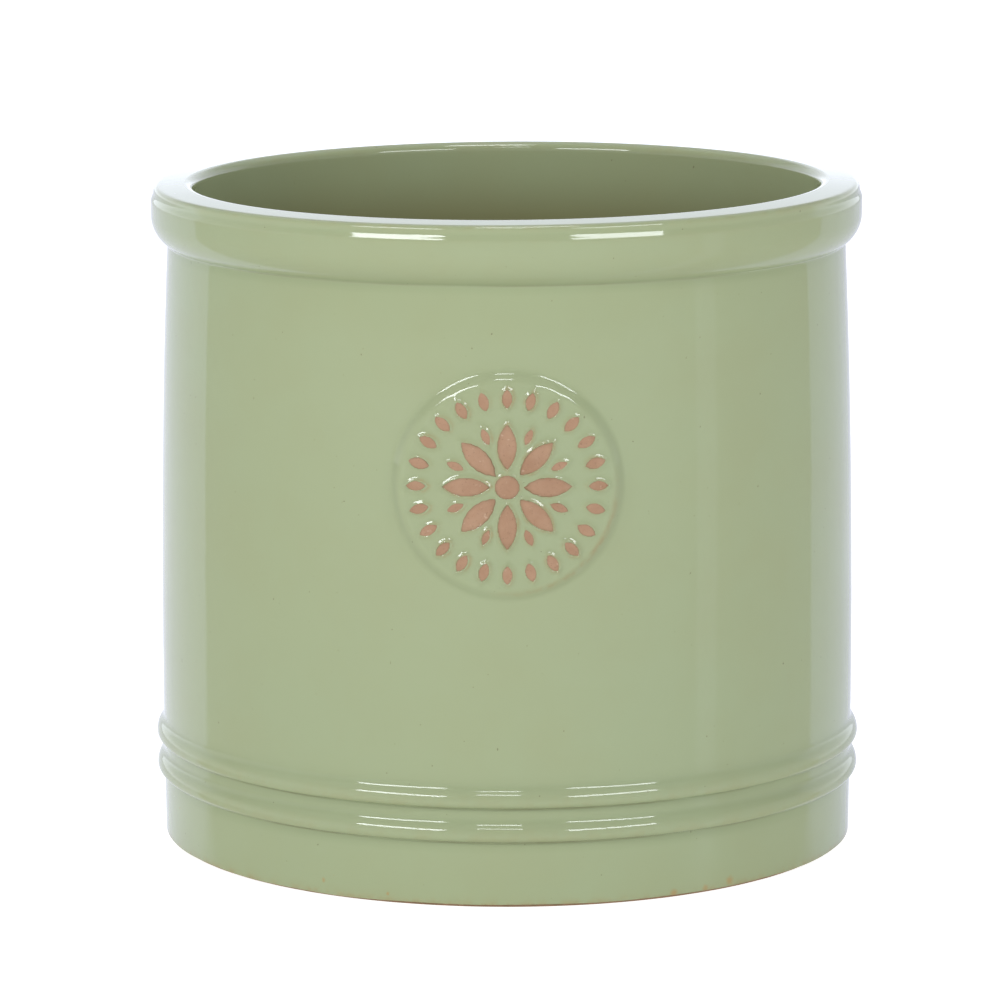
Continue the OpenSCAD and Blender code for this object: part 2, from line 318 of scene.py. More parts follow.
# Each group: how many sprigs, how many steps the first is turned, and then in millimetres the
# distance from the seal's middle, the length and the width.
sprig_groups = {"border_sprigs": (24, 0, 21.4, 5.0, 2.7),
                "petal_sprigs": (8, 0, 9.7, 11.6, 4.8),
                "sepal_sprigs": (8, 0.5, 13.2, 4.6, 2.1)}
swell_dice = np.random.default_rng(5)
sprigs = []
for kind, (count, turned, out, length, width) in sprig_groups.items():
    for i in range(count):
        sprigs.append((kind, 360 * (i + turned) / count, out * MM, length * MM, width * MM))
swells = swell_dice.uniform(0.65, 1.3, len(sprigs))
print(len(sprigs), "pointed sprigs and one boss")

# %% [markdown]
# Glaze is a liquid while it is hot. It stays level over the seal, sags smoothly over the seal's
# edge, and climbs a little way up every sprig that stands through it, more on some than on
# others. One function gives its height over the plain wall, so the grid can be lifted to it.

# %% Height of the glaze over the wall
seal_proud, flatness = 1.4 * MM, 0.15
soft_edge = (24.5 * MM, 4.4 * MM)
climb, climb_w = 0.50 * MM, 0.72 * MM
sunk_w, sunk = 0.5 * MM, 0.2


def step(t):
    """A smooth step from 0 to 1."""
    t = np.clip(t, 0, 1)
    return t * t * t * (t * (6 * t - 15) + 10)


def seal_rise(x, z):
    """Height of the seal over the wall. Pressing left it a little flatter than the wall."""
    flatter = seal_proud + flatness * x ** 2 / (2 * belly_r)
    return flatter * (1 - step((np.hypot(x, z) - soft_edge[0]) / soft_edge[1]))


print("the seal stands", seal_proud / MM, "mm proud, and glaze climbs", climb / MM, "mm on a sprig")


# %% Where the glaze has climbed
def meniscus(x, z):
    """How far the glaze has climbed at a place on the seal, from 0 to about 1."""
    up = np.exp(-(np.maximum(np.hypot(x, z) - boss_r, 0) / climb_w) ** 1.3)
    inside = step((boss_r - np.hypot(x, z)) / sunk_w)
    for (_, tilt, out, length, width), swell in zip(sprigs, swells):
        a, b = sprig_axes(x, z, tilt, out)
        close = (np.abs(a) < length) & (np.abs(b) < length)
        gap = oval(a[close], b[close], length, width)
        up[close] = np.maximum(up[close], swell * np.exp(-(np.maximum(gap, 0) / climb_w) ** 1.3))
        inside[close] = np.maximum(inside[close], step(-gap / sunk_w))
    # Under a sprig the glaze would be inside the clay, so it is let down out of sight.
    return up * (1 - inside) - sunk * inside


print("climb at the boss's edge:", round(float(meniscus(np.array([boss_r]), np.zeros(1))[0]), 2))

# %% [markdown]
# A coat of glaze is a closed shell: one grid for its shiny face, a coarser one for the face that
# lies on the clay, and a strip between them at each end. A single skin would look the same from
# outside, but it would have no thickness at the glaze line above the foot.

# %% Turning a line into a grid of points
def turned_grid(section, angles, edge_wave=0.0, proud=None):
    """Points of a section turned round the axis, as rows by columns by three."""
    r, z = section[:, 0][:, None], section[:, 1][:, None]
    a = angles[None, :]
    z = z + edge_wave * np.exp(-np.maximum(z - glaze_line_z, 0) / (1.2 * MM))
    r, z, a = (np.array(v) for v in np.broadcast_arrays(r, z, a))
    lift = np.zeros_like(r)
    x = r * np.sin(a)
    on_seal = (r > outer_side_r) & (np.cos(a) > 0) & (np.hypot(x, z - seal_z) < seal_reach)
    if proud is not None:
        lift[on_seal] = proud(x[on_seal], z[on_seal] - seal_z)
    return place(a, r, z, lift)


# %% Faces between rows, and the object they make
sharp_corner = math.radians(50)


def grid_faces(rows, count, start=0, flip=False):
    """Quads of a grid that closes round its columns."""
    grid = start + np.arange(rows * count).reshape(rows, count)
    right = np.roll(grid, -1, 1)
    quads = np.stack([grid[:-1], right[:-1], right[1:], grid[1:]], -1).reshape(-1, 4)
    return quads[:, ::-1] if flip else quads


def strip_faces(first, second):
    """Quads between two rings of points with the same columns."""
    return np.stack([first, np.roll(first, -1), np.roll(second, -1), second], -1)


def as_object(name, points, faces, weld=False):
    """A smooth-shaded object from points and faces, with its faces looking outwards."""
    mesh = bpy.data.meshes.new(name)
    mesh.from_pydata(np.asarray(points).tolist(), [], [list(map(int, f)) for f in faces])
    work = bmesh.new()
    work.from_mesh(mesh)
    if weld:
        bmesh.ops.remove_doubles(work, verts=work.verts, dist=1e-7)
    bmesh.ops.recalc_face_normals(work, faces=work.faces)
    work.to_mesh(mesh)
    work.free()
    mesh.shade_smooth()
    mesh.set_sharp_from_angle(angle=sharp_corner)
    piece = bpy.data.objects.new(name, mesh)
    bpy.context.scene.collection.objects.link(piece)
    return piece


print("faces that turn by over", round(math.degrees(sharp_corner)), "degrees meet in a sharp edge")

# %% [markdown]
# The pot is dipped for its outer coat, and glaze is poured in and out for the inner one. So they
# are two pieces that meet at the mouth, as on the real pot. The dipped coat ends in an uneven
# line above the foot, where it was wiped away, and that line is made of a few sine waves.

# %% How high a coat stands, and where it ends
wipe_wave, wipe_sag = 0.22 * MM, 1.9


def uneven_edge(a):
    """The glaze line above the foot: it sags a little and never ends dead level."""
    return wipe_wave * (np.sin(3 * a + 1) * 0.5 + np.sin(7 * a + 2.2) * 0.3
                        + np.sin(17 * a) * 0.25 - wipe_sag)


def glaze_height(x, z):
    """Height of the shiny face over the plain wall."""
    return seal_rise(x, z) + climb * meniscus(x, z)


edge_now = uneven_edge(columns) / MM
print("the glaze ends", round(-edge_now.max(), 2), "to", round(-edge_now.min(), 2), "mm lower")


# %% The two coats
def coat(name, rows, to_centre=False, edge_wave=0.0):
    """One coat of glaze as a closed shell between the shiny outline and the clay's."""
    back_rows = np.unique(np.concatenate([rows[::4], rows[-1:]]))
    shiny_line, back_line = line[rows], clay_line[back_rows]
    if to_centre:
        shiny_line, back_line = shiny_line[:-1], back_line[:-1]
    shiny = turned_grid(shiny_line, columns, edge_wave, glaze_height)
    back = turned_grid(back_line, columns, edge_wave, seal_rise)
    n, m, k = len(shiny_line), len(columns), len(back_line)
    points = np.concatenate([shiny.reshape(-1, 3), back.reshape(-1, 3)])
    ring = np.arange(m)
    faces = [grid_faces(n, m), grid_faces(k, m, n * m, flip=True),
             strip_faces(ring + n * m, ring)]
    if to_centre:
        centre_x = -lean * floor_z / pot_h
        centres = np.array([[centre_x, 0, floor_z], [centre_x, 0, floor_z - glaze_t]])
        hubs = len(points) + np.arange(2)
        points = np.concatenate([points, centres])
        for hub, last in zip(hubs, (ring + (n - 1) * m, ring + (n + k - 1) * m)):
            faces.append(np.stack([last, np.roll(last, -1), np.full(m, hub)], -1))
    else:
        faces.append(strip_faces(ring + (n - 1) * m, ring + (n + k - 1) * m))
    print(name, "has", len(points), "points")
    return as_object(name, points, [f for group in faces for f in group]), n


outer, outer_n = coat("outer_glaze_coat", outside_rows, edge_wave=uneven_edge(columns)[None, :])
inner, inner_n = coat("inner_glaze_coat", inside_rows, to_centre=True)

# %% [markdown]
# The clay under the glaze is hidden, but a real pot is made of it, and the glaze is so thin that
# a plain round solid would break through wherever the pot wanders out of true. So each clay piece
# is turned from its own section with the same waves as the glaze over it.

# %% Clay pieces turned from their sections
clay_columns = np.linspace(-math.pi, math.pi, 300, endpoint=False)
clay_well_r = well_r + glaze_t
slab_r = slab_high.x
tongue_r = clay_well_r + 3.4 * MM
groove_deep = 0.8 * MM


def clay_side(z0, z1):
    """The clay's outside between two heights, as points of a section."""
    side = clay_line[outside_rows]
    return side[(side[:, 1] >= z0) & (side[:, 1] <= z1)]


def groove(low, high):
    """The two inner corners of the groove that a bead's coil is pressed into."""
    r = wall_r(low.z) - glaze_t - groove_deep
    return np.array([(r, low.z), (r, high.z)])


print("the tongue is", round((tongue_r - clay_well_r) / MM, 1), "mm thick")


# %% One turned piece of clay
def closed_ring(name, points, weld=False):
    """A ring whose last row of points joins its first."""
    n, m = points.shape[:2]
    ring = np.arange(m)
    faces = np.concatenate([grid_faces(n, m), strip_faces(ring + (n - 1) * m, ring)])
    return as_object(name, points.reshape(-1, 3), faces, weld)


def turned_clay(name, section):
    """A closed section turned into a solid ring, or a solid disc if it touches the axis."""
    return closed_ring(name, turned_grid(np.asarray(section), clay_columns), weld=True)


print("each section is turned in", len(clay_columns), "columns")

# %% The hidden clay pieces
(low_1, high_1), (low_2, high_2) = beads
collar_rows = inside_rows[clay_line[inside_rows, 1] > tongue_top_z]
clay = {
    "clay_wall": turned_clay("thrown_clay_wall", np.concatenate([
        [(slab_r, slab_high.z), (slab_r, foot_h)], clay_side(foot_h, low_1.z),
        groove(low_1, high_1), clay_side(high_1.z, low_2.z), groove(low_2, high_2),
        clay_side(high_2.z, seat_z),
        [(tongue_r, seat_z), (tongue_r, tongue_top_z), (clay_well_r, tongue_top_z),
         (clay_well_r, slab_high.z)]])),
    "rim_collar": turned_clay("turned_rim_collar", np.concatenate([
        clay_side(seat_z, pot_h), clay_line[collar_rows],
        [(clay_well_r, tongue_top_z), (tongue_r, tongue_top_z), (tongue_r, seat_z)]])),
    "lower_bead": turned_clay("lower_bead_coil", np.concatenate([
        clay_side(low_1.z, high_1.z), groove(low_1, high_1)[::-1]])),
    "upper_bead": turned_clay("upper_bead_coil", np.concatenate([
        clay_side(low_2.z, high_2.z), groove(low_2, high_2)[::-1]])),
    "floor_coil": turned_clay("smoothed_floor_coil", np.concatenate([
        arc((well_r - fillet_r, floor_z + fillet_r), fillet_r + glaze_t, 0, -90),
        [(clay_well_r, slab_high.z)]])),
    "floor_slab": turned_clay("rolled_floor_slab",
                              [(0, slab_low.z), (slab_r, slab_low.z), (slab_r, slab_high.z),
                               (0, slab_high.z)]),
}
print("clay pieces:", [(k, len(p.data.vertices)) for k, p in clay.items()])

# %% [markdown]
# The foot is the only large bare clay that shows. It was wiped clean with a wet sponge so that
# the pot wouldn't stick to the kiln shelf, so its edges are soft and a little chewed, and a film
# of wiped glaze still stains its outer side. The nicks are geometry, so the lowest line shows them.

# %% The wiped foot ring
foot_w, foot_edge = 12 * MM, 0.8 * MM
nick = 0.1 * MM
side_r = wall_r(glaze_line_z) - glaze_t
inner_r = wall_r(foot_h) - glaze_t - foot_w


def chewed(angle):
    """Small nicks round the foot's lower edge."""
    return nick * (np.sin(31 * angle) * 0.3 + np.sin(53 * angle + 1) * 0.3
                   + np.sin(97 * angle + 2) * 0.25 - 0.4)


def store(piece, name, values):
    """Keeps one number per point on a mesh, where a material can read it by its name."""
    data = piece.data.attributes.new(name, "FLOAT", "POINT")
    data.data.foreach_set("value", np.asarray(values).astype(np.float32))


def wiped_foot():
    """The bare ring under the pot, with its nicks, and its stain stored as `rim`."""
    section, _ = even(np.concatenate([
        [(inner_r, foot_h)], arc((inner_r + foot_edge, foot_edge), foot_edge, 180, 270),
        arc((side_r - foot_edge, foot_edge), foot_edge, 270, 360),
        [(side_r, glaze_line_z), (side_r, foot_h)]]), 0.25 * MM)
    angles = np.linspace(-math.pi, math.pi, 720, endpoint=False)
    points = turned_grid(section, angles)
    on_edge = np.exp(-((section[:, 1] - 0.4 * MM) / (0.5 * MM)) ** 2
                     - ((section[:, 0] - side_r) / (1 * MM)) ** 2)
    points[..., 0] += on_edge[:, None] * (chewed(angles) * np.sin(angles))[None, :]
    points[..., 1] -= on_edge[:, None] * (chewed(angles) * np.cos(angles))[None, :]
    ring_piece = closed_ring("wiped_foot_ring", points)
    stain = np.exp(-np.maximum(side_r - section[:, 0], 0) / (0.8 * MM))
    store(ring_piece, "rim", np.repeat(stain, len(angles)))
    return ring_piece


clay["foot_ring"] = wiped_foot()
print("foot ring:", len(clay["foot_ring"].data.vertices), "points")

# %% [markdown]
# The seal itself is hidden under the glaze except where the sprigs come through, but a maker
# still presses it with a soft edge, and a sharp one would show through the glaze. It is a small
# round grid laid on the wall.

# %% The pressed seal under the glaze
seal_bed = 0.8 * MM


def seal_surface(x, z, height):
    """A point `height` over the plain glazed wall, at a place on the seal from its centre."""
    high = z + seal_z
    r = wall_r(high)
    return place(np.arcsin(np.clip(x / r, -1, 1)), r, high, height)


def pressed_disc():
    """The seal's clay: a grid of rings over its face, and a flat back in the wall."""
    rings, spokes, disc_r = 40, 160, 26.6 * MM
    centre = np.array(0.0)
    points = [seal_surface(centre, centre, seal_proud - glaze_t)]
    a = np.linspace(0, 2 * math.pi, spokes, endpoint=False)
    for away in disc_r * np.arange(1, rings + 1) / rings:
        x, z = away * np.sin(a), away * np.cos(a)
        points.extend(seal_surface(x, z, seal_rise(x, z) - glaze_t))
    points.extend(seal_surface(disc_r * np.sin(a), disc_r * np.cos(a), -glaze_t - seal_bed))
    points.append(seal_surface(centre, centre, -glaze_t - seal_bed))
    ring, back = np.arange(spokes), 1 + rings * spokes
    front = np.stack([np.zeros(spokes), 1 + np.roll(ring, -1), 1 + ring], -1)
    rear = np.stack([back + ring, back + np.roll(ring, -1), np.full(spokes, len(points) - 1)], -1)
    return as_object("pressed_seal", points, [*front, *grid_faces(rings + 1, spokes, 1), *rear])


clay["seal_disc"] = pressed_disc()
print("seal:", len(clay["seal_disc"].data.vertices), "points")

# %% [markdown]
# Sprigs are pressed in little moulds, so each has a flat back, a soft upper edge and a face that
# is never quite level. Each is a fan of rings that follow its own outline inwards, and a seeded
# dice gives every one its own height and tilt, so a few are half drowned in glaze.

# %% Outlines of a sprig and of the boss
sprig_dice = np.random.default_rng(21)
sprig_top = 0.40 * MM
# Each ring: its size beside the outline, and its height in millimetres.
sprig_rings = [(1.0, -0.9), (1.0, -0.16), (0.985, -0.07), (0.95, -0.02), (0.88, 0.0),
               (0.7, 0.0), (0.5, 0.0), (0.3, 0.0), (0.12, 0.0)]


def oval_outline(length, width, count=36):
    """Points round a pointed oval, as (along, across)."""
    big = (length ** 2 + width ** 2) / (4 * width)
    half = math.asin(length / 2 / big)
    a = np.linspace(-half, half, count // 2, endpoint=False)
    side = np.stack([big * np.sin(a), big * np.cos(a) - (big - width / 2)], 1)
    return np.concatenate([side, -side])


def round_outline(radius, count=48):
    """Points round a circle, as (along, across)."""
    a = np.linspace(0, 2 * math.pi, count, endpoint=False)
    return radius * np.stack([np.sin(a), np.cos(a)], 1)


print("a sprig has", len(sprig_rings), "rings of", len(oval_outline(*sprigs[0][3:])), "points")


# %% One sprig
def sprig(outline_points, tilt, out, crown):
    """Points and faces of one sprig. `crown` is how much its middle stands over its edge."""
    count = len(outline_points)
    a = math.radians(tilt)
    top = sprig_top + sprig_dice.uniform(-0.16, 0.05) * MM
    tip_up, side_up = sprig_dice.uniform(-0.035, 0.035, 2)
    wobble = 1 + 0.03 * np.sin(np.arange(count) * 2.1 + sprig_dice.uniform(0, 6))
    points = []
    for size, depth in sprig_rings:
        along, across = (outline_points * size * wobble[:, None]).T
        x = across * math.cos(a) + (along + out) * math.sin(a)
        z = -across * math.sin(a) + (along + out) * math.cos(a)
        height = (seal_rise(x, z) + top + depth * MM + crown * (1 - size ** 2)
                  + tip_up * along + side_up * across)
        if size < 0.96:
            height = height + sprig_dice.normal(0, 1, count) * 0.015 * MM
        points.append(seal_surface(x, z, height))
    x0, z0 = np.array([out * math.sin(a)]), np.array([out * math.cos(a)])
    points.append(seal_surface(x0, z0, seal_rise(x0, z0) + top + crown))
    rings, ring = len(sprig_rings), np.arange(count)
    last = ring + (rings - 1) * count
    fan = np.stack([last, np.roll(last, -1), np.full(count, rings * count)], -1)
    return np.concatenate(points), [*grid_faces(rings, count), *fan, ring[::-1]]


# %% The groups of sprigs
def sprig_group(name, members):
    """Sprigs joined into one piece, with their stained edges stored as `rim`."""
    points, faces, worn, start = [], [], [], 0
    for outline_points, tilt, out, crown in members:
        p, f = sprig(outline_points, tilt, out, crown)
        faces += [[start + int(i) for i in face] for face in f]
        points.append(p)
        edge = [1.0 if size > 0.9 else 0.35 if size > 0.8 else 0.0 for size, _ in sprig_rings]
        worn += [*np.repeat(edge, len(outline_points)), 0.0]
        start += len(p)
    group = as_object(name, np.concatenate(points), faces)
    store(group, "rim", worn)
    return group


for kind in sprig_groups:
    members = [(oval_outline(length, width), tilt, out, 0.03 * MM)
               for k, tilt, out, length, width in sprigs if k == kind]
    clay[kind] = sprig_group("pressed_" + kind, members)
clay["boss_sprig"] = sprig_group("pressed_boss", [(round_outline(boss_r), 0, 0, 0.10 * MM)])
print("sprigs and boss pressed on the seal")

# %% [markdown]
# How thick the glaze lies is worth knowing everywhere: thin glaze shows the clay through, pooled
# glaze is darker and greener. The outline's bend gives it. Hollows collect glaze and edges shed
# it. Two more numbers are painted shade: `crease`, a dark line in the tightest hollows, and
# `deep`, a darkening down the well. They are stored on the mesh as plain numbers per point, which
# the material reads. They could be painted by hand, but the numbers follow the outline by
# themselves.

# %% How the outline bends
def blurred(values, softness):
    """Values along the outline, evened out over a distance."""
    weight = np.exp(-0.5 * (np.arange(-80, 81) * pace / softness) ** 2)
    return np.convolve(values, weight / weight.sum(), "same")


wide_bend = blurred(bend, 0.7 * MM) * MM
tight_bend = blurred(bend, 0.12 * MM) * MM
print("sharpest hollow and edge:", round(tight_bend.min(), 2), round(tight_bend.max(), 2), "per mm")

# %% Where the glaze pools and thins, and where shade is painted
# The painted shade in the well deepens over this depth below the mouth.
well_depth = 34 * MM
seal_flat_r, seal_shed_r, seal_foot_r = 25 * MM, 26.2 * MM, 27.4 * MM
shed_w, pool_w, trail_h = 0.7 * MM, 0.5 * MM, 0.6 * MM


def coat_numbers(piece, rows, n, outside):
    """Stores `pooled`, `thin`, `crease` and `deep`, each from 0 to 1; the last two are painted
    shade.
    """
    m = len(columns)
    count = len(piece.data.vertices)
    numbers = {name: np.zeros(count) for name in ("pooled", "thin", "crease", "deep")}
    rows = rows[:n]
    # `crease` is painted shade: a dark line along the tightest hollows, under the beads and the
    # collar.
    for name, values in (("pooled", -wide_bend[rows] / 0.35),
                         ("thin", wide_bend[rows] / 1.1 * 0.5),
                         ("crease", (-tight_bend[rows] - 0.7) / 1.6)):
        numbers[name][:n * m] = np.repeat(np.clip(values, 0, 1), m)
    co = np.zeros(count * 3)
    piece.data.vertices.foreach_get("co", co)
    co = co.reshape(-1, 3)
    if outside:
        x, z = co[:, 0], co[:, 2] - seal_z
        away = np.hypot(x, z)
        front = (co[:, 1] < 0) & (away < seal_reach) & (np.arange(count) < n * m)
        climbed = np.clip(meniscus(x[front], z[front]), 0, 1)
        numbers["thin"][front] = climbed ** 2
        seal_foot = np.exp(-((away[front] - seal_foot_r) / pool_w) ** 2)
        on_flat = away[front] < seal_flat_r
        numbers["pooled"][front] = np.maximum(0.5 * seal_foot, 0.25 * on_flat)
        shed = np.exp(-((away[front] - seal_shed_r) / shed_w) ** 2)
        low_right = np.clip((x[front] - z[front]) / away[front].clip(1e-6) - 0.8, 0, 1) * 1.6
        numbers["thin"][front] = np.maximum(numbers["thin"][front], shed * low_right)
        trailing = np.exp(-np.maximum(co[:, 2] - glaze_line_z, 0) / trail_h)
        numbers["thin"] = np.maximum(numbers["thin"], trailing * 0.8)
    else:
        # `deep` is painted shade, darker the further down the well.
        numbers["deep"] = step((meet[1] - co[:, 2]) / well_depth)
    for name, values in numbers.items():
        store(piece, name, values)


coat_numbers(outer, outside_rows, outer_n, True)
coat_numbers(inner, inside_rows, inner_n, False)
print("pooled, thin, crease and deep stored on both coats")

# %% [markdown]
# ## Materials
#
# A few small helpers keep the node trees short to read: one makes a node and sets its inputs, one
# mixes two colours by a factor, one turns a number's range into 0 to 1. Everything is worked out
# from the place on the object in metres, so a noise of scale 100 has lumps of about a centimetre.

# %% Colours as a painter names them
def linear(r, g, b):
    """A colour as a painter names it, 0 to 255, turned into the light it reflects."""
    out = []
    for v in (r / 255, g / 255, b / 255):
        out.append(v / 12.92 if v <= 0.04045 else ((v + 0.055) / 1.055) ** 2.4)
    return (*out, 1.0)


print("a mid grey reflects", round(linear(128, 128, 128)[0], 3), "of the light")


# %% Node helpers
class Recipe:
    """A node tree, built a line at a time."""

    def __init__(self, tree):
        self.tree = tree
        self.where = self.node("ShaderNodeTexCoord").outputs
        self.place = self.where["Object"]

    def node(self, kind, **inputs):
        """A new node with its inputs set or linked, by their names."""
        made = self.tree.nodes.new(kind)
        for key, value in inputs.items():
            self.put(made.inputs[key.replace("_", " ")], value)
        return made

    def put(self, socket, value):
        """Sets an input to a value, or links it to another node's output."""
        if isinstance(value, bpy.types.NodeSocket):
            self.tree.links.new(value, socket)
        else:
            socket.default_value = value

    def noise(self, scale, detail=3.0, roughness=0.5):
        """Cloudy noise over the object, from 0 to 1 and mostly near a half."""
        made = self.node("ShaderNodeTexNoise", Scale=scale, Detail=detail, Roughness=roughness)
        self.put(made.inputs["Vector"], self.place)
        return made.outputs["Fac"]

    def between(self, value, low, high, to_low=0.0, to_high=1.0):
        """A number's range stretched to another range, and held at its ends."""
        made = self.node("ShaderNodeMapRange", Value=value)
        for key, number in (("From Min", low), ("From Max", high), ("To Min", to_low),
                            ("To Max", to_high)):
            made.inputs[key].default_value = number
        return made.outputs["Result"]

    def math(self, operation, a, b=0.0):
        made = self.tree.nodes.new("ShaderNodeMath")
        made.operation = operation
        self.put(made.inputs[0], a)
        self.put(made.inputs[1], b)
        return made.outputs[0]

    def vector(self, operation, a, b):
        made = self.tree.nodes.new("ShaderNodeVectorMath")
        made.operation = operation
        self.put(made.inputs[0], a)
        self.put(made.inputs[1], b)
        return made.outputs["Vector"] if operation == "MULTIPLY" else made.outputs["Value"]

    def mix(self, factor, a, b):
        made = self.tree.nodes.new("ShaderNodeMix")
        made.data_type = "RGBA"
        self.put(made.inputs["Factor"], factor)
        for socket, colour in zip([s for s in made.inputs if s.type == "RGBA"], (a, b)):
            self.put(socket, colour)
        return [s for s in made.outputs if s.type == "RGBA"][0]

    def stored(self, name):
        """The number per point that a mesh keeps under a name."""
        made = self.tree.nodes.new("ShaderNodeAttribute")
        made.attribute_name = name
        return made.outputs["Fac"]

    def bump(self, height, distance, strength=1.0, onto=None):
        made = self.node("ShaderNodeBump", Height=height, Distance=distance, Strength=strength)
        if onto is not None:
            self.put(made.inputs["Normal"], onto)
        return made.outputs["Normal"]


def new_material(name):
    """A new material, the recipe for its nodes, and its shader."""
    material = bpy.data.materials.new(name)
    material.use_nodes = True
    tree = material.node_tree
    return material, Recipe(tree), tree.nodes["Principled BSDF"]


print("node helpers ready")

# %% [markdown]
# The kiln leaves small brown marks where iron in the clay bled through. Most lie near the foot,
# where the glaze is thinnest. Each is a place on the wall and a radius, and the glaze's material
# turns brown round it. A painted picture could hold them too, but this needs no picture.

# %% Kiln marks on the glaze
def mark(angle, z, size):
    """A small brown kiln mark on the wall, at an angle in degrees, with its height and radius."""
    return Vector(place(math.radians(angle), wall_r(z * MM), z * MM).tolist()), size * MM


marks = [mark(-30.8, 3.9, 0.7), mark(-28.9, 5.5, 0.3), mark(-19.4, 2.3, 0.4),
         mark(38.5, 2.1, 1.5), mark(33.5, 1.3, 1.1), mark(27.5, 1.2, 1.3), mark(-70, 11.1, 0.4),
         mark(151, 4.5, 0.8), mark(112, 60, 0.4), mark(-140, 95, 0.5)]
print(len(marks), "kiln marks")

# %% [markdown]
# The glaze is a glossy sage green. Its colour is cloudy on the scale of a hand and patchy on the
# scale of a finger, darker where it pools and brown where it breaks over an edge. It also holds
# painted shade: a dark line in the tight creases and a darkening down the well. Its gloss comes
# from the shader: a low roughness, an ordinary glass index, and a very faint ripple.

# %% Sage glaze
def sage_glaze():
    """Glossy sage green glaze, cloudy, pooled in hollows, broken over edges, with painted shade."""
    material, g, shader = new_material("sage_glaze")
    sage, olive, cool = linear(166, 176, 136), linear(164, 169, 127), linear(165, 179, 143)
    brown = linear(180, 146, 92)
    cloudy = g.between(g.noise(9, 2, 0.5), 0.35, 0.65)
    patches = g.between(g.noise(38, 3, 0.55), 0.40, 0.68)
    colour = g.mix(g.math("MULTIPLY", cloudy, 0.40), sage, cool)
    colour = g.mix(g.math("MULTIPLY", patches, 0.30), colour, olive)
    colour = g.mix(g.math("MULTIPLY", g.stored("pooled"), 0.22), colour, linear(140, 153, 115))
    # Painted shade: the glaze is painted darker and browner the deeper it goes into the well,
    # standing in for the shade inside the pot.
    colour = g.mix(g.stored("deep"), colour, linear(124, 118, 77))
    broken = g.between(g.noise(260, 4, 0.6), 0.42, 0.62)
    broken_part = g.math("ADD", g.math("MULTIPLY", broken, 0.5), 0.1)
    thin = g.math("MULTIPLY", g.stored("thin"), broken_part)
    colour = g.mix(thin, colour, linear(168, 148, 104))
    # Painted shade: a broken dark line along the tight creases under the beads and the collar.
    stretches = g.between(g.noise(45, 3), 0.40, 0.60, 0.0, 0.6)
    crease = g.math("MULTIPLY", g.stored("crease"), stretches)
    colour = g.mix(crease, colour, linear(124, 112, 76))
    ragged = g.math("MULTIPLY", g.math("SUBTRACT", g.noise(900, 3, 0.6), 0.5), 1.2 * MM)
    for centre, size in marks:
        away = g.math("ADD", g.vector("DISTANCE", g.place, centre), ragged)
        colour = g.mix(g.between(away, size, size * 0.25, 0.0, 0.65), colour, brown)
    specks = g.between(g.noise(900, 1, 0.4), 0.79, 0.83)
    colour = g.mix(g.math("MULTIPLY", specks, 0.55), colour, linear(112, 104, 72))
    g.put(shader.inputs["Base Color"], colour)
    g.put(shader.inputs["Roughness"], g.between(g.noise(120, 2), 0.3, 0.7, 0.030, 0.065))
    shader.inputs["IOR"].default_value = 1.52
    # The surface has a faint peel, and each speck is a pinhole.
    peel = g.bump(g.noise(230, 2, 0.4), 0.02 * MM, 0.6)
    pinholes = g.bump(g.math("SUBTRACT", 1.0, specks), 0.05 * MM, 0.5, onto=peel)
    g.put(shader.inputs["Normal"], pinholes)
    return material


print("glaze recipe ready")


# %% [markdown]
# The bare clay is a soft brick pink with darker grog and pale chalky specks. It is matt, with a
# fine grain. Round the sprigs' edges and on the foot's side it is stained a darker brown where
# glaze soaked in, and the number stored as `rim` says how much.

# %% Bare red clay
def bare_clay():
    """Matt brick pink clay with grog, chalky specks and stained edges."""
    material, c, shader = new_material("bare_clay")
    clay_tone, pale, dark = linear(169, 130, 101), linear(182, 145, 116), linear(130, 94, 68)
    body = c.between(c.noise(160, 5, 0.6), 0.3, 0.7)
    colour = c.mix(body, clay_tone, pale)
    stained = c.math("MULTIPLY", c.stored("rim"), c.between(c.noise(500, 2), 0.3, 0.6, 0.3, 0.8))
    colour = c.mix(stained, colour, linear(130, 108, 76))
    grog = c.between(c.noise(1500, 3, 0.6), 0.60, 0.72)
    colour = c.mix(c.math("MULTIPLY", grog, 0.45), colour, dark)
    chalk = c.between(c.noise(800, 2, 0.5), 0.68, 0.76)
    colour = c.mix(c.math("MULTIPLY", chalk, 0.4), colour, linear(214, 190, 166))
    c.put(shader.inputs["Base Color"], colour)
    c.put(shader.inputs["Roughness"], c.between(c.noise(600, 2), 0.3, 0.7, 0.60, 0.85))
    grain = c.bump(c.noise(2200, 3, 0.6), 0.06 * MM, 0.6)
    c.put(shader.inputs["Normal"], c.bump(c.noise(420, 3, 0.6), 0.08 * MM, 0.5, onto=grain))
    return material


glaze_finish, clay_finish = sage_glaze(), bare_clay()
print("materials:", [m.name for m in (glaze_finish, clay_finish)])

# %% [markdown]
# ## Putting it together
#
# Each dressed piece rides on the pot's one body, and the plain solid that it stands for is hidden.
# The plain solids are still given the same finishes, so that nothing is left bare.

# %% Ride, replace and finish
def dress(piece, finish, node):
    """Gives a piece its finish and its body, and hides the plain solid that it stands for."""
    piece.data.materials.clear()
    piece.data.materials.append(finish)
    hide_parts(node)
    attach(piece, "root")


dress(outer, glaze_finish, "outer_glaze")
dress(inner, glaze_finish, "inner_glaze")
for node_name, piece in clay.items():
    dress(piece, clay_finish, node_name)
for node_name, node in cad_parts.items():
    node.data.materials.clear()
    node.data.materials.append(glaze_finish if node_name.endswith("glaze") else clay_finish)
print("dressed", 2 + len(clay), "pieces")

# %% [markdown]
# ## Camera, floor and light
#
# The pot is seen from a little above with a long lens, as a catalogue shows it. A shiny pot shows
# its surroundings, so lighting it means building the room that it reflects: a white table with
# brighter sheets lying on it, a pale back wall, a dim front, and soft lamps.

